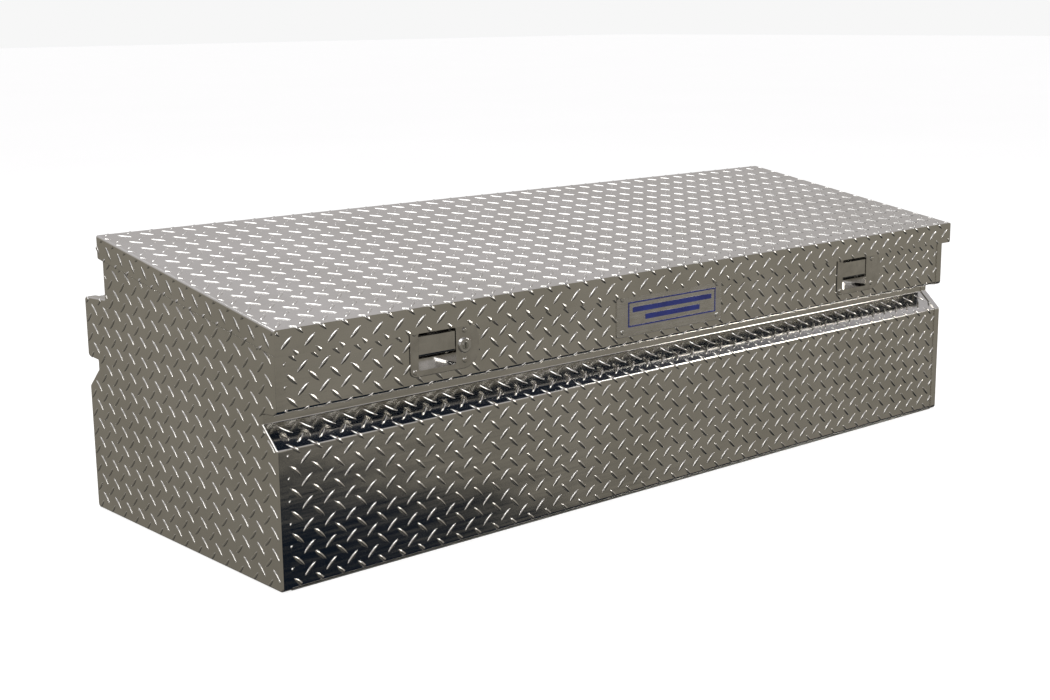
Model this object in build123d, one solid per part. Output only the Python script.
from build123d import *
import os
from math import atan2, cos, degrees, hypot, sin

# A chest-type truck tool box with a sloping lid, in millimetres.
# +X runs to the right along the length, the front wall faces -Y, and +Z is up.
# The origin is on the floor, under the middle of the closed box.

# ---- Driving dimensions: sheet metal shell ---------------------------------
SHEET = 1.6                # thickness of every body and lid sheet
BEND = 3.0                 # inside radius of a folded edge
BODY_LENGTH = 1528.0       # over the two end caps
FRONT_Y = -264.0           # outer face of the front wall
REAR_Y = 277.35            # outer face of the rear wall, below its ledge
UPPER_REAR_Y = 208.4       # outer face of the rear wall above the ledge
LEDGE_OUTER_Z = 344.0      # the ledge drains to the rear, so it drops outwards
LEDGE_INNER_Z = 347.0
GROOVE_DEPTH = 33.0        # horizontal groove, the same front and rear
GROOVE_LOW_Z = 201.0       # where the groove's slanted face leaves the wall
GROOVE_FLOOR_Z = 232.0     # where the slanted face meets the groove's bottom
GROOVE_ROOF_Z = 249.0
GROOVE_TOP_Z = 251.0
CAP_DEPTH = 16.0           # how far an end cap's edge flange reaches inwards
CAP_EDGE_RADIUS = 2.5      # outer edge all round an end cap
LAP_GAP = 0.05             # gap between lapped sheets
FLOOR_FLANGE = 25.0        # wall flange that lies on the floor sheet
RIM_FLANGE = 15.0          # inturned flange that carries the weather seal

# ---- Driving dimensions: lid ------------------------------------------------
LID_LENGTH = 1538.0
LID_FRONT_Y = -279.0
LID_REAR_Y = 217.0
LID_FRONT_Z = 370.0
LID_RISE = 0.16            # the lid climbs this much for each millimetre of depth
LID_FLANGE = 37.5          # height of the flange all round
LID_BEND = 1.6             # inside radius of the lid's folds
RIM_DROP = 13.0            # from the lid's top face down to the rim, square to the lid
SEAL_WIDTH = 10.0
SEAL_INSET = 4.7           # from the walls' outer faces to the seal
SEAL_GAP = 0.5             # between the seal and the closed lid
SEAL_CORNER = 14.0
STIFFENER_LENGTH = 1400.0
STIFFENER_RISE = 18.0
STIFFENER_SHEET = 1.2
STIFFENER_STATIONS = {"front": 85.0, "rear": 400.0}

# ---- Driving dimensions: hinge ----------------------------------------------
HINGE_Y = 211.9
HINGE_Z = 408.0
HINGE_LENGTH = 1480.0
HINGE_PIN_RADIUS = 1.6
HINGE_FIT = 0.05           # radial clearance on the pin
KNUCKLE_RADIUS = 3.2       # the lid's knuckles turn clear of the rear wall
KNUCKLE_COUNT = 37         # knuckles, alternately on the body and on the lid
KNUCKLE_GAP = 0.5
LEAF_SHEET = 1.5
LEAF_HEIGHT = 30.0
LEAF_SETBACK = 4.2         # from the hinge line to the leaf's full-length edge
HINGE_RIVET_COUNT = 10
HINGE_RIVET_SPAN = 1400.0

# ---- Driving dimensions: latches ---------------------------------------------
LATCH_X = 487.0            # each handle's recess is centred this far from the middle
DISH_LEFT = 48.5           # dish plate, to the left of the recess's centre
DISH_RIGHT = 78.5
DISH_LOW_Z = 266.0
DISH_HIGH_Z = 338.0
DISH_SHEET = 1.5
LATCH_RIVET_LEFT = 41.5    # the two rivets left of the recess's centre
LATCH_RIVET_INSET = 7.5    # from them to the plate's lower and upper edges
LATCH_RIVET_RISE = 22.5    # the two on the right, over and under the lock's height
GASKET_SHEET = 1.0
RECESS_HALF_WIDTH = 34.5
RECESS_LOW_Z = 275.0
RECESS_HIGH_Z = 330.0
RECESS_BACK_Y = -241.4
RECESS_WALL = 1.2
RECESS_CLEARANCE = 0.5     # round the recess in the wall and in the gasket
PADDLE_PIVOT_Y = -257.5
PADDLE_PIVOT_Z = 322.0
PADDLE_SHEET = 2.0
PADDLE_HALF_WIDTH = 33.4
PADDLE_FACE_Y = -265.3
PADDLE_LOW_Z = 296.0
PADDLE_TOP_RISE = 2.2      # above the pivot; its corners clear the recess when it is pulled
PADDLE_LIP = (8.0, 6.0)    # the curled lower lip, inwards and down
PADDLE_BARREL_RADIUS = 3.6
PADDLE_BARRELS = ((-12.0, 12.0), (-31.0, -25.0), (25.0, 31.0))
PADDLE_PIN_RADIUS = 2.0
PADDLE_PIN_FIT = 0.08
PADDLE_LUG_HALF_WIDTH = 2.0
PADDLE_LUG_DEPTH = 4.2     # behind the pivot
PADDLE_LUG_DROP = 22.0     # below the pivot
LINK_DROP = 15.0           # link pin, below the paddle's pivot
LINK_RADIUS = 1.5
LINK_SLOT_WIDTH = 4.2
LINK_SLOT_LENGTH = 8.4
BOLT_WIDTH = 12.0
BOLT_HEIGHT = 8.0
BOLT_FIT = 0.1
BOLT_TIP_Y = -202.0
HOUSING_HALF_WIDTH = 13.0
HOUSING_END_Y = -213.0
STRIKER_STANDOFF = 1.5     # from the bolt's tip to the striker
STRIKER_SHEET = 3.0
STRIKER_REACH = 86.0       # the striker's lower edge, below the lid's top face

# ---- Driving dimensions: lock (left latch only) -------------------------------
LOCK_X = -437.0
LOCK_Z = 301.0
LOCK_RADIUS = 9.5
LOCK_FLANGE_RADIUS = 11.0
PLUG_RADIUS = 6.0
PLUG_FIT = 0.05
LOCK_BACK_Y = -237.0
CAM_REACH = 36.0
CAM_SHEET = 2.5

# ---- Driving dimensions: nameplate and rivets ----------------------------------
PLATE_WIDTH = 247.0
PLATE_LOW_Z = 265.5
PLATE_HIGH_Z = 336.0
PLATE_SHEET = 2.0
RIVET_RADIUS = 2.0
RIVET_HOLE_FIT = 0.05
RIVET_HEAD_RADIUS = 3.8
RIVET_HEAD_RISE = 1.5
RIVET_TAIL_RADIUS = 3.2
RIVET_TAIL_RISE = 1.2

# ---- Driving dimensions: gas struts ---------------------------------------------
STRUT_X = 732.0
STRUT_BODY_Y = 188.4       # pivot on the end cap
STRUT_BODY_Z = 360.0
STRUT_LID_Y = -54.7        # pivot on the lid, with the lid closed
STRUT_LID_Z = 364.4
TUBE_RADIUS = 9.0
TUBE_BORE = 7.8
ROD_RADIUS = 4.0
STRUT_EYE_RADIUS = 8.0
STRUT_EYE_HALF_WIDTH = 7.0
STRUT_FIT = 0.06
TUBE_START = 14.0          # along the strut, from the lower pivot
TUBE_END = 200.0
STRUT_NECK = 8.0           # end fitting between the eye and the tube or rod

# ---- Driving dimensions: floor fixing holes --------------------------------------
FIXING_SPACING_X = 1320.0
FIXING_SPACING_Y = 400.0
FIXING_RADIUS = 5.5

HALF_BODY = BODY_LENGTH / 2
HALF_LID = LID_LENGTH / 2
LID_SLOPE = atan2(LID_RISE, 1)
# The lid's own plane: x along the box, y up the slope, z square to the lid's top face.
LID_PLANE = Plane(origin=(0, LID_FRONT_Y, LID_FRONT_Z), x_dir=(1, 0, 0),
                  z_dir=(0, -sin(LID_SLOPE), cos(LID_SLOPE)))


# ---- Helpers ------------------------------------------------------------------------
def lid_top_z(y):
    """Height of the lid's top face at y."""
    return LID_FRONT_Z + (y - LID_FRONT_Y) * LID_RISE


def rim_z(y):
    """Height of the rim's top face at y."""
    return lid_top_z(y) - RIM_DROP / cos(LID_SLOPE)


def lid_point(y, z):
    """A point of the side view, as (distance up the slope, height over the lid)."""
    dy, dz = y - LID_FRONT_Y, z - LID_FRONT_Z
    return (dy * cos(LID_SLOPE) + dz * sin(LID_SLOPE), dz * cos(LID_SLOPE) - dy * sin(LID_SLOPE))


def block(x0, x1, y0, y1, z0, z1):
    """A box between two corners."""
    centre = ((x0 + x1) / 2, (y0 + y1) / 2, (z0 + z1) / 2)
    return Pos(*centre) * Box(x1 - x0, y1 - y0, z1 - z0)


def rod_x(radius, x0, x1, y, z):
    """A cylinder along X."""
    return Pos((x0 + x1) / 2, y, z) * Rot(0, 90, 0) * Cylinder(radius, x1 - x0)


def rod_y(radius, y0, y1, x, z):
    """A cylinder along Y."""
    return Pos(x, (y0 + y1) / 2, z) * Rot(90, 0, 0) * Cylinder(radius, y1 - y0)


def direction(start, end):
    """Unit vector from one point of a side view to another."""
    length = hypot(end[0] - start[0], end[1] - start[1])
    return ((end[0] - start[0]) / length, (end[1] - start[1]) / length)


def offset_path(points, distance):
    """The same path, moved to the right of its direction of travel."""
    moved = []
    last = len(points) - 1
    for i, point in enumerate(points):
        before = direction(points[max(i - 1, 0)], points[max(i, 1)])
        after = direction(points[min(i, last - 1)], points[min(i + 1, last)])
        normal = (before[1] + after[1], -before[0] - after[0])
        scale = distance * 2 / (normal[0] ** 2 + normal[1] ** 2)
        moved.append((point[0] + normal[0] * scale, point[1] + normal[1] * scale))
    return moved


def turns_right(points, i):
    """True where the path turns clockwise at its point number i."""
    before = direction(points[i - 1], points[i])
    after = direction(points[i], points[i + 1])
    return before[0] * after[1] - before[1] * after[0] < 0


def sheet_section(points, thickness, radius, side=1):
    """Section of a folded sheet: a path and its offset, side 1 to the right, -1 to the left."""
    other = offset_path(points, side * thickness)
    near, far = [], []
    for i in range(1, len(points) - 1):
        bends_towards_other = turns_right(points, i) == (side > 0)
        near.append(radius + thickness if bends_towards_other else radius)
        far.append(radius if bends_towards_other else radius + thickness)
    radii = [0] + near + [0, 0] + far[::-1] + [0]
    return make_face(FilletPolyline(*points, *other[::-1], radius=radii, close=True))


def along_x(face, x0, x1):
    """Extrude a side-view face (drawn as y, z) along X."""
    return Pos(x0, 0, 0) * extrude(Plane.YZ * face, amount=x1 - x0)


def along_lid_x(face, x0, x1):
    """Extrude a face drawn as (up the slope, over the lid) along X."""
    plane = Plane(origin=LID_PLANE.origin, x_dir=LID_PLANE.y_dir, z_dir=(1, 0, 0))
    return Pos(x0, 0, 0) * extrude(plane * face, amount=x1 - x0)


def front_plate(outline, y0, y1):
    """Extrude a front-view face (drawn as x, z) from y0 back to y1."""
    return Pos(0, y0, 0) * extrude(Plane.XZ * outline, amount=y0 - y1)


def rivet(grip):
    """A domed rivet along +Z: head over z = 0, shank through the grip, tail under it."""
    head = Pos(0, 0, RIVET_HEAD_RISE / 2) * Cylinder(RIVET_HEAD_RADIUS, RIVET_HEAD_RISE)
    head = fillet(head.edges().group_by(Axis.Z)[-1], RIVET_HEAD_RISE * 0.8)
    shank = Pos(0, 0, -grip / 2) * Cylinder(RIVET_RADIUS, grip)
    tail = Pos(0, 0, -grip - RIVET_TAIL_RISE / 2) * Cylinder(RIVET_TAIL_RADIUS, RIVET_TAIL_RISE)
    return head + shank + tail


def rivet_hole(grip):
    return Pos(0, 0, -grip / 2) * Cylinder(RIVET_RADIUS + RIVET_HOLE_FIT, grip + 2)


def facing_front(x, y, z):
    """Places a part drawn along +Z so that it faces the front."""
    return Pos(x, y, z) * Rot(90, 0, 0)


# ---- Side view of the walls ------------------------------------------------------------
def front_wall_path():
    inner = FRONT_Y + GROOVE_DEPTH
    return [(FRONT_Y, SHEET), (FRONT_Y, GROOVE_LOW_Z), (inner, GROOVE_FLOOR_Z),
            (inner, GROOVE_ROOF_Z), (FRONT_Y, GROOVE_TOP_Z), (FRONT_Y, rim_z(FRONT_Y))]


def rear_wall_path():
    inner = REAR_Y - GROOVE_DEPTH
    return [(REAR_Y, SHEET), (REAR_Y, GROOVE_LOW_Z), (inner, GROOVE_FLOOR_Z),
            (inner, GROOVE_ROOF_Z), (REAR_Y, GROOVE_TOP_Z), (REAR_Y, LEDGE_OUTER_Z),
            (UPPER_REAR_Y, LEDGE_INNER_Z), (UPPER_REAR_Y, rim_z(UPPER_REAR_Y))]


def outside_cap(x0, x1):
    """Everything that an end cap's flange leaves no room for."""
    zone = block(x0, x1, FRONT_Y - CAP_DEPTH, REAR_Y + CAP_DEPTH, -CAP_DEPTH, HINGE_Z + CAP_DEPTH * 2)
    return zone - along_x(cap_outline(SHEET + LAP_GAP), x0, x1)


def wall(path, side):
    """A folded wall sheet; its floor and rim flanges turn in, towards +Y if side is 1."""
    foot, head = path[0], path[-1]
    rim_end = head[0] + side * RIM_FLANGE
    points = [(foot[0] + side * FLOOR_FLANGE, foot[1])] + path + [(rim_end, rim_z(rim_end))]
    reach = HALF_BODY - SHEET - LAP_GAP
    sheet = along_x(sheet_section(points, SHEET, BEND, side), -reach, reach)
    clear = HALF_BODY - CAP_DEPTH - LAP_GAP
    return sheet - outside_cap(clear, HALF_BODY) - outside_cap(-HALF_BODY, -clear)


def cap_outline(inset):
    """Side view of an end cap, moved in by inset; the walls lap inside its flange."""
    grow = SHEET + LAP_GAP - inset
    front = offset_path(front_wall_path(), -grow)
    rear = offset_path(rear_wall_path(), grow)
    front[0] = (front[0][0], inset)
    rear[0] = (rear[0][0], inset)
    lower = inset / cos(LID_SLOPE)
    front[-1] = (front[-1][0], rim_z(front[-1][0]) - lower)
    rear[-1] = (rear[-1][0], rim_z(rear[-1][0]) - lower)
    outer = BEND + SHEET + grow
    inner = BEND - grow
    front_radii = [outer, outer, inner, inner, outer, outer]
    rear_radii = [outer, outer, inner, inner, outer, outer, inner, outer]
    return make_face(FilletPolyline(*front, *rear[::-1], radius=front_radii + rear_radii[::-1],
                                    close=True))


def end_panel(sign):
    """An end cap: a flat end with an edge flange all the way round."""
    pan = along_x(cap_outline(0), HALF_BODY - CAP_DEPTH, HALF_BODY)
    pan = fillet(pan.faces().sort_by(Axis.X)[-1].edges(), CAP_EDGE_RADIUS)
    pan -= along_x(cap_outline(SHEET), HALF_BODY - CAP_DEPTH - 1, HALF_BODY - SHEET)
    return pan if sign > 0 else mirror(pan, Plane.YZ)


def floor_panel():
    half = HALF_BODY - CAP_DEPTH - LAP_GAP
    sheet = block(-half, half, FRONT_Y, REAR_Y, 0, SHEET)
    for x in (-FIXING_SPACING_X / 2, FIXING_SPACING_X / 2):
        for y in (-FIXING_SPACING_Y / 2, FIXING_SPACING_Y / 2):
            sheet -= Pos(x, y, SHEET / 2) * Cylinder(FIXING_RADIUS, 2 * SHEET)
    return sheet


def front_panel():
    sheet = wall(front_wall_path(), 1)
    for centre in (-LATCH_X, LATCH_X):
        sheet -= latch_cutout(centre)
        for x, z in latch_rivet_points(centre):
            sheet -= facing_front(x, FRONT_Y, z) * rivet_hole(SHEET)
    sheet -= rod_y(LOCK_RADIUS + LAP_GAP, FRONT_Y - 1, FRONT_Y + SHEET + 1, LOCK_X, LOCK_Z)
    for x, z in nameplate_rivet_points():
        sheet -= facing_front(x, FRONT_Y, z) * rivet_hole(SHEET)
    return sheet


def rear_panel():
    sheet = wall(rear_wall_path(), -1)
    for place in hinge_body_rivet_places():
        sheet -= place * rivet_hole(SHEET + LEAF_SHEET)
    return sheet


# ---- Weather seal and lid ---------------------------------------------------------------
def weather_seal():
    """A ring of sponge on the rim, rounded on top."""
    low = lid_point(FRONT_Y, rim_z(FRONT_Y))[0] + SEAL_INSET
    high = lid_point(UPPER_REAR_Y, rim_z(UPPER_REAR_Y))[0] - SEAL_INSET
    half = HALF_BODY - SEAL_INSET
    centre = Pos(0, (low + high) / 2)
    outer = centre * RectangleRounded(2 * half, high - low, SEAL_CORNER)
    hole = centre * RectangleRounded(2 * (half - SEAL_WIDTH), high - low - 2 * SEAL_WIDTH,
                                     SEAL_CORNER - SEAL_WIDTH)
    height = RIM_DROP - SHEET - SEAL_GAP
    ring = extrude(outer - hole, amount=height)
    ring = fillet(ring.faces().sort_by(Axis.Z)[-1].edges(), SEAL_WIDTH * 0.4)
    return LID_PLANE * Pos(0, 0, -RIM_DROP) * ring


def lid_shell(inset, drop, radius):
    """A solid of the lid's outer shape moved in by inset, rounded but for its lower edges."""
    front, rear = LID_FRONT_Y + inset, LID_REAR_Y - inset
    under = inset / cos(LID_SLOPE)
    path = [(front, lid_top_z(front) - drop), (front, lid_top_z(front) - under),
            (rear, lid_top_z(rear) - under), (rear, lid_top_z(rear) - drop)]
    half = HALF_LID - inset
    wedge = along_x(make_face(Polyline(*path, close=True)), -half, half)
    under_edges = wedge.faces().sort_by(Axis.Z)[0].edges()
    return fillet([edge for edge in wedge.edges() if edge not in under_edges], radius)


def lid_skin():
    skin = lid_shell(0, LID_FLANGE, LID_BEND + SHEET)
    skin -= lid_shell(SHEET, 2 * LID_FLANGE, LID_BEND)
    for place in hinge_lid_rivet_places():
        skin -= place * rivet_hole(SHEET + LEAF_SHEET)
    return skin


def stiffener(station):
    """A hat section under the lid, spot welded through its two side flanges."""
    half_flange, half_base, half_crown = 34.0, 20.0, 14.0
    low = -SHEET - STIFFENER_RISE
    path = [(-half_flange, -SHEET), (-half_base, -SHEET), (-half_crown, low),
            (half_crown, low), (half_base, -SHEET), (half_flange, -SHEET)]
    path = [(station + v, w) for v, w in path]
    section = sheet_section(path, STIFFENER_SHEET, STIFFENER_SHEET, 1)
    return along_lid_x(section, -STIFFENER_LENGTH / 2, STIFFENER_LENGTH / 2)


# ---- Piano hinge ---------------------------------------------------------------------------
def hinge_leaf(leaf_y, first, height_sign):
    """A leaf about the hinge line, standing up (height_sign 1) or down (-1) from it."""
    half = HINGE_LENGTH / 2
    z0, z1 = LEAF_SETBACK * height_sign, (LEAF_SETBACK + LEAF_HEIGHT) * height_sign
    leaf = block(-half, half, leaf_y, leaf_y + LEAF_SHEET, min(z0, z1), max(z0, z1))
    pitch = HINGE_LENGTH / KNUCKLE_COUNT
    for i in range(first, KNUCKLE_COUNT, 2):
        x0 = -half + i * pitch + KNUCKLE_GAP / 2
        x1 = x0 + pitch - KNUCKLE_GAP
        leaf += rod_x(KNUCKLE_RADIUS, x0, x1, 0, 0)
        leaf += block(x0, x1, leaf_y, leaf_y + LEAF_SHEET, min(z0, 0), max(z0, 0))
    leaf -= rod_x(HINGE_PIN_RADIUS + HINGE_FIT, -half - 1, half + 1, 0, 0)
    return Pos(0, HINGE_Y, HINGE_Z) * leaf


def hinge_body_leaf():
    leaf = hinge_leaf(UPPER_REAR_Y - HINGE_Y, 0, -1)
    for place in hinge_body_rivet_places():
        leaf -= place * rivet_hole(SHEET + LEAF_SHEET)
    return leaf


def hinge_lid_leaf():
    leaf = hinge_leaf(LID_REAR_Y - SHEET - LEAF_SHEET - HINGE_Y, 1, 1)
    for place in hinge_lid_rivet_places():
        leaf -= place * rivet_hole(SHEET + LEAF_SHEET)
    return leaf


def hinge_rivet_stations():
    pitch = HINGE_RIVET_SPAN / (HINGE_RIVET_COUNT - 1)
    return [-HINGE_RIVET_SPAN / 2 + i * pitch for i in range(HINGE_RIVET_COUNT)]


def hinge_body_rivet_places():
    z = HINGE_Z - LEAF_SETBACK - LEAF_HEIGHT / 2
    return [Pos(x, UPPER_REAR_Y + LEAF_SHEET, z) * Rot(-90, 0, 0) for x in hinge_rivet_stations()]


def hinge_lid_rivet_places():
    z = HINGE_Z + LEAF_SETBACK + LEAF_HEIGHT / 2
    return [Pos(x, LID_REAR_Y, z) * Rot(-90, 0, 0) for x in hinge_rivet_stations()]


def hinge_pin():
    half = HINGE_LENGTH / 2
    return rod_x(HINGE_PIN_RADIUS, -half, half, HINGE_Y, HINGE_Z)


# ---- Latches -----------------------------------------------------------------------------------
def latch_rivet_points(centre):
    left = centre - LATCH_RIVET_LEFT
    right = centre + LOCK_X + LATCH_X
    return [(left, DISH_LOW_Z + LATCH_RIVET_INSET), (left, DISH_HIGH_Z - LATCH_RIVET_INSET),
            (right, LOCK_Z - LATCH_RIVET_RISE), (right, LOCK_Z + LATCH_RIVET_RISE)]


def dish_outline(centre):
    """Front view of a latch's plate: square to the left, rounded to the right."""
    left, right = centre - DISH_LEFT, centre + DISH_RIGHT
    return make_face(FilletPolyline((left, DISH_LOW_Z), (right, DISH_LOW_Z), (right, DISH_HIGH_Z),
                                    (left, DISH_HIGH_Z), radius=[9, 30, 30, 9], close=True))


def recess_outline(centre, grow):
    width = 2 * (RECESS_HALF_WIDTH + grow)
    height = RECESS_HIGH_Z - RECESS_LOW_Z + 2 * grow
    middle = (RECESS_HIGH_Z + RECESS_LOW_Z) / 2
    return Pos(centre, middle) * RectangleRounded(width, height, 4 + grow)


def latch_cutout(centre):
    return front_plate(recess_outline(centre, RECESS_WALL + RECESS_CLEARANCE), FRONT_Y - 1, FRONT_Y + SHEET + 1)


def latch_dish(centre, has_lock):
    """Stamped plate with a deep recess for the paddle."""
    face_y = FRONT_Y - GASKET_SHEET - DISH_SHEET
    plate = front_plate(dish_outline(centre), face_y, face_y + DISH_SHEET)
    plate = fillet(plate.faces().sort_by(Axis.Y)[0].edges(), DISH_SHEET * 0.6)
    cup = front_plate(recess_outline(centre, RECESS_WALL), face_y + 0.2, RECESS_BACK_Y + RECESS_WALL)
    dish = plate + cup - front_plate(recess_outline(centre, 0), face_y - 1, RECESS_BACK_Y)
    pin_end = RECESS_HALF_WIDTH + RECESS_WALL + 1
    dish -= rod_x(PADDLE_PIN_RADIUS + 0.03, centre - pin_end, centre + pin_end,
                  PADDLE_PIVOT_Y, PADDLE_PIVOT_Z)
    half_width, half_height = BOLT_WIDTH / 2 + 0.6, BOLT_HEIGHT / 2 + 0.6
    z = PADDLE_PIVOT_Z - LINK_DROP
    dish -= block(centre - half_width, centre + half_width, RECESS_BACK_Y - 1,
                  RECESS_BACK_Y + RECESS_WALL + 1, z - half_height, z + half_height)
    for x, rivet_z in latch_rivet_points(centre):
        dish -= facing_front(x, face_y, rivet_z) * rivet_hole(DISH_SHEET)
    if has_lock:
        dish -= rod_y(LOCK_RADIUS + LAP_GAP, face_y - 1, FRONT_Y, LOCK_X, LOCK_Z)
    return dish


def latch_gasket(centre, has_lock):
    outline = dish_outline(centre) - recess_outline(centre, RECESS_WALL + RECESS_CLEARANCE)
    gasket = front_plate(outline, FRONT_Y - GASKET_SHEET, FRONT_Y)
    for x, z in latch_rivet_points(centre):
        gasket -= facing_front(x, FRONT_Y, z) * rivet_hole(2 * GASKET_SHEET)
    if has_lock:
        gasket -= rod_y(LOCK_RADIUS + LAP_GAP, FRONT_Y - 2, FRONT_Y + 1, LOCK_X, LOCK_Z)
    return gasket


def latch_rivets(centre):
    grip = SHEET + GASKET_SHEET + DISH_SHEET
    face_y = FRONT_Y - GASKET_SHEET - DISH_SHEET
    return [facing_front(x, face_y, z) * rivet(grip) for x, z in latch_rivet_points(centre)]


def paddle(centre):
    """Finger plate with a curled lower lip, a hinge barrel and a slotted lug."""
    back_y = PADDLE_FACE_Y + PADDLE_SHEET
    path = [(PADDLE_FACE_Y, PADDLE_PIVOT_Z + PADDLE_TOP_RISE), (PADDLE_FACE_Y, PADDLE_LOW_Z),
            (PADDLE_FACE_Y + PADDLE_LIP[0], PADDLE_LOW_Z - PADDLE_LIP[1])]
    section = sheet_section(path, PADDLE_SHEET, PADDLE_SHEET, -1)
    part = along_x(section, centre - PADDLE_HALF_WIDTH, centre + PADDLE_HALF_WIDTH)
    for x0, x1 in PADDLE_BARRELS:
        part += rod_x(PADDLE_BARREL_RADIUS, centre + x0, centre + x1, PADDLE_PIVOT_Y, PADDLE_PIVOT_Z)
        part += block(centre + x0, centre + x1, back_y - 0.5, PADDLE_PIVOT_Y,
                      PADDLE_PIVOT_Z - PADDLE_BARREL_RADIUS, PADDLE_PIVOT_Z + 2)
    part += block(centre - PADDLE_LUG_HALF_WIDTH, centre + PADDLE_LUG_HALF_WIDTH, back_y - 0.5,
                  PADDLE_PIVOT_Y + PADDLE_LUG_DEPTH, PADDLE_PIVOT_Z - PADDLE_LUG_DROP, PADDLE_PIVOT_Z)
    slot = Plane.YZ * SlotOverall(LINK_SLOT_LENGTH, LINK_SLOT_WIDTH, rotation=90)
    slot_z = PADDLE_PIVOT_Z - LINK_DROP - 1.2
    part -= Pos(centre, PADDLE_PIVOT_Y, slot_z) * extrude(slot, amount=6, both=True)
    return part - rod_x(PADDLE_PIN_RADIUS + PADDLE_PIN_FIT, centre - PADDLE_HALF_WIDTH - 1,
                        centre + PADDLE_HALF_WIDTH + 1, PADDLE_PIVOT_Y, PADDLE_PIVOT_Z)


def paddle_pin(centre):
    half = RECESS_HALF_WIDTH + RECESS_WALL + 0.3
    return rod_x(PADDLE_PIN_RADIUS, centre - half, centre + half, PADDLE_PIVOT_Y, PADDLE_PIVOT_Z)


def paddle_spring(centre):
    """Torsion spring, coiled round the paddle's pin."""
    wire, coil_radius, coil_length = 0.5, 2.9, 10.0
    path = Helix(pitch=1.25, height=coil_length, radius=coil_radius)
    profile = Plane(origin=path @ 0, z_dir=path % 0) * Circle(wire)
    coil = sweep(profile, path=path)
    return Pos(centre + 13.5, PADDLE_PIVOT_Y, PADDLE_PIVOT_Z) * Rot(0, 90, 0) * coil


def latch_bolt(centre):
    """Spring bolt: a fork round the paddle's lug, a square shank and a ramped nose."""
    z = PADDLE_PIVOT_Z - LINK_DROP
    half_width, half_height = BOLT_WIDTH / 2, BOLT_HEIGHT / 2
    root_y = PADDLE_PIVOT_Y + 8
    body = block(centre - half_width, centre + half_width, root_y, BOLT_TIP_Y,
                 z - half_height, z + half_height)
    nose = Plane.YZ * make_face(Polyline((BOLT_TIP_Y - 7, z + half_height + 1),
                                         (BOLT_TIP_Y + 1, z + half_height + 1),
                                         (BOLT_TIP_Y + 1, z - 1), close=True))
    body -= Pos(centre, 0, 0) * extrude(nose, amount=BOLT_WIDTH, both=True)
    for sign in (-1, 1):
        x0, x1 = sorted((centre + sign * 2.5, centre + sign * half_width))
        body += block(x0, x1, PADDLE_PIVOT_Y, root_y + 0.5, z - half_height, z + half_height)
        body += rod_x(half_height, x0, x1, PADDLE_PIVOT_Y, z)
    return body - rod_x(LINK_RADIUS + 0.02, centre - 10, centre + 10, PADDLE_PIVOT_Y, z)


def link_pin(centre):
    z = PADDLE_PIVOT_Z - LINK_DROP
    half = BOLT_WIDTH / 2
    return rod_x(LINK_RADIUS, centre - half, centre + half, PADDLE_PIVOT_Y, z)


def bolt_housing(centre):
    """Guide block, welded to the back of the dish."""
    z = PADDLE_PIVOT_Z - LINK_DROP
    start_y = RECESS_BACK_Y + RECESS_WALL
    housing = block(centre - HOUSING_HALF_WIDTH, centre + HOUSING_HALF_WIDTH, start_y,
                    HOUSING_END_Y, z - 10, z + 12)
    housing = fillet(housing.edges().filter_by(Axis.Y), 2.0)
    half_width, half_height = BOLT_WIDTH / 2 + BOLT_FIT, BOLT_HEIGHT / 2 + BOLT_FIT
    return housing - block(centre - half_width, centre + half_width, start_y - 1,
                           HOUSING_END_Y + 1, z - half_height, z + half_height)


def striker(centre):
    """Bracket that hangs from the lid's front stiffener, with a window for the bolt."""
    tip_v, tip_w = lid_point(BOLT_TIP_Y, PADDLE_PIVOT_Z - LINK_DROP)
    leg_v = tip_v + STRIKER_STANDOFF
    top_w = -SHEET - STIFFENER_RISE - STIFFENER_SHEET
    path = [(leg_v, -STRIKER_REACH), (leg_v, top_w), (leg_v + 22, top_w)]
    bracket = along_lid_x(sheet_section(path, STRIKER_SHEET, 1.5, 1), centre - 20, centre + 20)
    bracket -= LID_PLANE * block(centre - 9, centre + 9, leg_v - 1, leg_v + STRIKER_SHEET + 1,
                                 tip_w - 6, tip_w + 7)
    for place in striker_rivet_places(centre):
        bracket -= place * rivet_hole(2 * STRIKER_SHEET)
    return bracket


def striker_rivet_places(centre):
    tip_v = lid_point(BOLT_TIP_Y, PADDLE_PIVOT_Z - LINK_DROP)[0]
    v = tip_v + STRIKER_STANDOFF + 13
    w = -SHEET - STIFFENER_RISE - STIFFENER_SHEET - STRIKER_SHEET
    return [LID_PLANE * Pos(centre + x, v, w) * Rot(180, 0, 0) for x in (-12, 12)]


def front_stiffener():
    part = stiffener(STIFFENER_STATIONS["front"])
    for centre in (-LATCH_X, LATCH_X):
        for place in striker_rivet_places(centre):
            part -= place * rivet_hole(2 * STRIKER_SHEET + STIFFENER_SHEET)
    return part


def striker_rivets():
    grip = STRIKER_SHEET + STIFFENER_SHEET
    return [place * rivet(grip) for centre in (-LATCH_X, LATCH_X)
            for place in striker_rivet_places(centre)]


# ---- Lock -----------------------------------------------------------------------------------------
def lock_face_y():
    return FRONT_Y - GASKET_SHEET - DISH_SHEET


def lock_barrel():
    face_y = lock_face_y()
    flange = rod_y(LOCK_FLANGE_RADIUS, face_y - 3, face_y, LOCK_X, LOCK_Z)
    flange = fillet(flange.edges().sort_by(Axis.Y)[0], 1.2)
    barrel = flange + rod_y(LOCK_RADIUS, face_y - 0.5, LOCK_BACK_Y, LOCK_X, LOCK_Z)
    return barrel - rod_y(PLUG_RADIUS + PLUG_FIT, face_y - 5, LOCK_BACK_Y + 1, LOCK_X, LOCK_Z)


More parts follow.
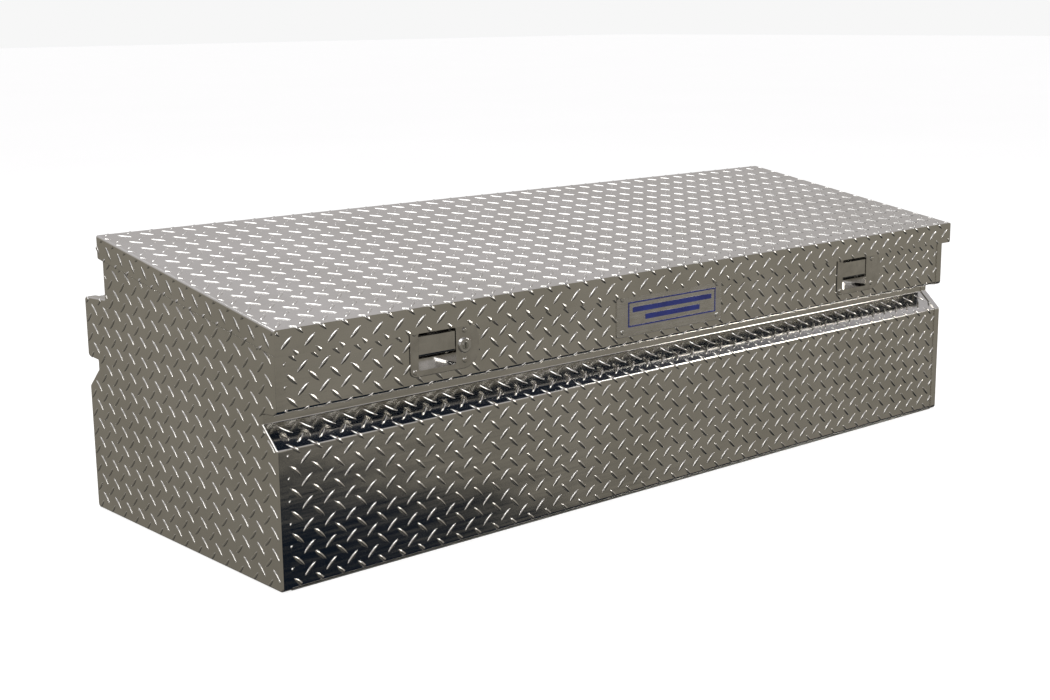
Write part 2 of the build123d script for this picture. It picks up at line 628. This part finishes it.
def lock_plug():
    """The part that turns with the key; its key slot is blind."""
    front = lock_face_y() - 3.4
    plug = rod_y(PLUG_RADIUS, front, LOCK_BACK_Y + 2, LOCK_X, LOCK_Z)
    plug = fillet(plug.edges().sort_by(Axis.Y)[0], 0.5)
    plug -= block(LOCK_X - 0.9, LOCK_X + 0.9, front - 1, front + 6, LOCK_Z - 4.2, LOCK_Z + 4.2)
    return plug - rod_y(2.0, LOCK_BACK_Y - 7, LOCK_BACK_Y + 3, LOCK_X, LOCK_Z)


def lock_nut():
    hexagon = RegularPolygon(LOCK_RADIUS + 3.5, 6, major_radius=False, rotation=30)
    ring = hexagon - Circle(LOCK_RADIUS + LAP_GAP)
    inner_y = FRONT_Y + SHEET
    return Pos(LOCK_X, 0, LOCK_Z) * front_plate(ring, inner_y, inner_y + 5)


def lock_cam():
    """Arm on the back of the plug, pointing down while unlocked."""
    half = 6.0
    outline = make_face(FilletPolyline((-half, half), (half, half), (half, -CAM_REACH),
                                       (-half, -CAM_REACH), radius=[5, 5, 3, 3], close=True))
    start_y = LOCK_BACK_Y + 2
    return Pos(LOCK_X, 0, LOCK_Z) * front_plate(outline - Circle(2.05), start_y, start_y + CAM_SHEET)


def lock_cam_screw():
    back_y = LOCK_BACK_Y + 2 + CAM_SHEET
    head = rod_y(4.5, back_y, back_y + 3, LOCK_X, LOCK_Z)
    head = fillet(head.edges().sort_by(Axis.Y)[-1], 1.0)
    return head + rod_y(1.95, back_y - 10, back_y + 1, LOCK_X, LOCK_Z)


# ---- Nameplate ---------------------------------------------------------------------------------------
def nameplate_rivet_points():
    return [(x, z) for x in (-112.0, 112.0) for z in (PLATE_LOW_Z + 8.5, PLATE_HIGH_Z - 9.0)]


def nameplate():
    middle = (PLATE_LOW_Z + PLATE_HIGH_Z) / 2
    outline = Pos(0, middle) * RectangleRounded(PLATE_WIDTH, PLATE_HIGH_Z - PLATE_LOW_Z, 5)
    plate = front_plate(outline, FRONT_Y - PLATE_SHEET, FRONT_Y)
    plate = fillet(plate.faces().sort_by(Axis.Y)[0].edges(), 0.6)
    for x, z in nameplate_rivet_points():
        plate -= facing_front(x, FRONT_Y - PLATE_SHEET, z) * rivet_hole(PLATE_SHEET)
    return plate


def nameplate_rivets():
    grip = SHEET + PLATE_SHEET
    return [facing_front(x, FRONT_Y - PLATE_SHEET, z) * rivet(grip)
            for x, z in nameplate_rivet_points()]


# ---- Gas struts --------------------------------------------------------------------------------------
STRUT_ANGLE = atan2(STRUT_LID_Z - STRUT_BODY_Z, STRUT_LID_Y - STRUT_BODY_Y)
STRUT_LENGTH = hypot(STRUT_LID_Z - STRUT_BODY_Z, STRUT_LID_Y - STRUT_BODY_Y)


def strut_place(sign):
    """Frame of a closed strut: +Z runs from its lower pivot to its upper one."""
    return Pos(sign * STRUT_X, STRUT_BODY_Y, STRUT_BODY_Z) * Rot(degrees(STRUT_ANGLE) - 90, 0, 0)


def strut_tube(sign):
    middle = (TUBE_START + TUBE_END) / 2
    tube = Pos(0, 0, middle) * Cylinder(TUBE_RADIUS, TUBE_END - TUBE_START)
    tube = fillet(tube.edges().filter_by(GeomType.CIRCLE), 1.5)
    bore_length = TUBE_END - TUBE_START - 6
    tube -= Pos(0, 0, middle) * Cylinder(TUBE_BORE, bore_length)
    tube -= Pos(0, 0, TUBE_END) * Cylinder(ROD_RADIUS + STRUT_FIT, 20)
    return strut_place(sign) * tube


def strut_rod(sign):
    piston_z, rod_end = 64.0, STRUT_LENGTH - STRUT_EYE_RADIUS - STRUT_NECK
    rod = Pos(0, 0, (piston_z + rod_end) / 2) * Cylinder(ROD_RADIUS, rod_end - piston_z)
    rod += Pos(0, 0, piston_z) * Cylinder(TUBE_BORE - 0.1, 8)
    return strut_place(sign) * rod


def strut_eye(neck_radius, neck_start, neck_end):
    """End fitting: an eye across X with a neck along the strut."""
    eye = rod_x(STRUT_EYE_RADIUS, -STRUT_EYE_HALF_WIDTH, STRUT_EYE_HALF_WIDTH, 0, 0)
    eye = fillet(eye.edges().filter_by(GeomType.CIRCLE), 1.0)
    low, high = sorted((neck_start, neck_end))
    return eye + Pos(0, 0, (low + high) / 2) * Cylinder(neck_radius, high - low)


def strut_lower_socket(sign):
    eye = strut_eye(STRUT_EYE_HALF_WIDTH, 0, TUBE_START)
    eye -= rod_x(ROD_RADIUS + STRUT_FIT, -20, 20, 0, 0)
    return strut_place(sign) * eye


def lid_bracket_face(sign):
    """Outboard face of a strut's lid bracket."""
    return sign * (STRUT_X - STRUT_EYE_HALF_WIDTH - 4)


def strut_upper_socket(sign):
    """Upper end fitting with its stud, which meets the lid's bracket face to face."""
    eye = strut_eye(5.5, 0, -STRUT_EYE_RADIUS - STRUT_NECK)
    fitting = strut_place(sign) * Pos(0, 0, STRUT_LENGTH) * eye
    x0, x1 = sorted((sign * STRUT_X, lid_bracket_face(sign) + sign * 0.4))
    return fitting + rod_x(ROD_RADIUS, x0, x1, STRUT_LID_Y, STRUT_LID_Z)


def strut_body_bracket(sign):
    """Plate on the inside of an end cap, with a fixed stud for the strut's lower eye."""
    inner_x = HALF_BODY - SHEET
    outline = Pos(STRUT_BODY_Y - 10, STRUT_BODY_Z) * RectangleRounded(48, 40, 6)
    bracket = along_x(outline, inner_x - 3, inner_x)
    stud_end = STRUT_X - STRUT_EYE_HALF_WIDTH - 3
    bracket += rod_x(ROD_RADIUS, stud_end, inner_x - 1, STRUT_BODY_Y, STRUT_BODY_Z)
    bracket += rod_x(6.5, stud_end, stud_end + 2.5, STRUT_BODY_Y, STRUT_BODY_Z)
    bracket += rod_x(6.5, STRUT_X + STRUT_EYE_HALF_WIDTH + 0.5, inner_x - 1, STRUT_BODY_Y,
                     STRUT_BODY_Z)
    return bracket if sign > 0 else mirror(bracket, Plane.YZ)


def strut_lid_bracket(sign):
    """Angle bracket under the lid, spot welded through its foot."""
    v, w = lid_point(STRUT_LID_Y, STRUT_LID_Z)
    face = lid_bracket_face(1)
    web_outline = make_face(FilletPolyline((v - 22, -SHEET), (v + 22, -SHEET), (v + 10, w - 10),
                                           (v - 10, w - 10), radius=[0, 0, 8, 8], close=True))
    bracket = along_lid_x(web_outline, face - 3, face)
    bracket += LID_PLANE * block(face - 18, face, v - 22, v + 22, -SHEET - 3, -SHEET)
    return bracket if sign > 0 else mirror(bracket, Plane.YZ)


# ---- Assembly ----------------------------------------------------------------------------------------------
def pair(make):
    return [make(-1), make(1)]


def build_parts():
    """Every node's name, with its solid or its group of separate solids."""
    parts = {
        "floor_panel": floor_panel(),
        "front_panel": front_panel(),
        "rear_panel": rear_panel(),
        "end_panel_left": end_panel(-1),
        "end_panel_right": end_panel(1),
        "weather_seal": weather_seal(),
        "nameplate": nameplate(),
        "nameplate_rivets": nameplate_rivets(),
        "hinge_body_leaf": hinge_body_leaf(),
        "hinge_pin": hinge_pin(),
        "hinge_body_rivets": [place * rivet(SHEET + LEAF_SHEET)
                              for place in hinge_body_rivet_places()],
        "hinge_lid_leaf": hinge_lid_leaf(),
        "hinge_lid_rivets": [place * rivet(SHEET + LEAF_SHEET)
                             for place in hinge_lid_rivet_places()],
        "lid_skin": lid_skin(),
        "lid_stiffener_front": front_stiffener(),
        "lid_stiffener_rear": stiffener(STIFFENER_STATIONS["rear"]),
        "striker_rivets": striker_rivets(),
        "lock_barrel": lock_barrel(),
        "lock_plug": lock_plug(),
        "lock_nut": lock_nut(),
        "lock_cam": lock_cam(),
        "lock_cam_screw": lock_cam_screw(),
        "strut_body_brackets": pair(strut_body_bracket),
        "strut_lid_brackets": pair(strut_lid_bracket),
    }
    for side, sign in (("left", -1), ("right", 1)):
        centre = sign * LATCH_X
        parts[f"latch_dish_{side}"] = latch_dish(centre, side == "left")
        parts[f"latch_gasket_{side}"] = latch_gasket(centre, side == "left")
        parts[f"latch_rivets_{side}"] = latch_rivets(centre)
        parts[f"paddle_{side}"] = paddle(centre)
        parts[f"paddle_pin_{side}"] = paddle_pin(centre)
        parts[f"paddle_spring_{side}"] = paddle_spring(centre)
        parts[f"latch_bolt_{side}"] = latch_bolt(centre)
        parts[f"link_pin_{side}"] = link_pin(centre)
        parts[f"bolt_housing_{side}"] = bolt_housing(centre)
        parts[f"striker_{side}"] = striker(centre)
        parts[f"strut_tube_{side}"] = strut_tube(sign)
        parts[f"strut_rod_{side}"] = strut_rod(sign)
        parts[f"strut_lower_socket_{side}"] = strut_lower_socket(sign)
        parts[f"strut_upper_socket_{side}"] = strut_upper_socket(sign)
    return parts


def main():
    os.makedirs("parts", exist_ok=True)
    for name, shape in build_parts().items():
        solids = shape if isinstance(shape, list) else [shape]
        node = Compound(children=solids) if len(solids) > 1 else solids[0]
        export_step(node, f"parts/{name}.step")


main()
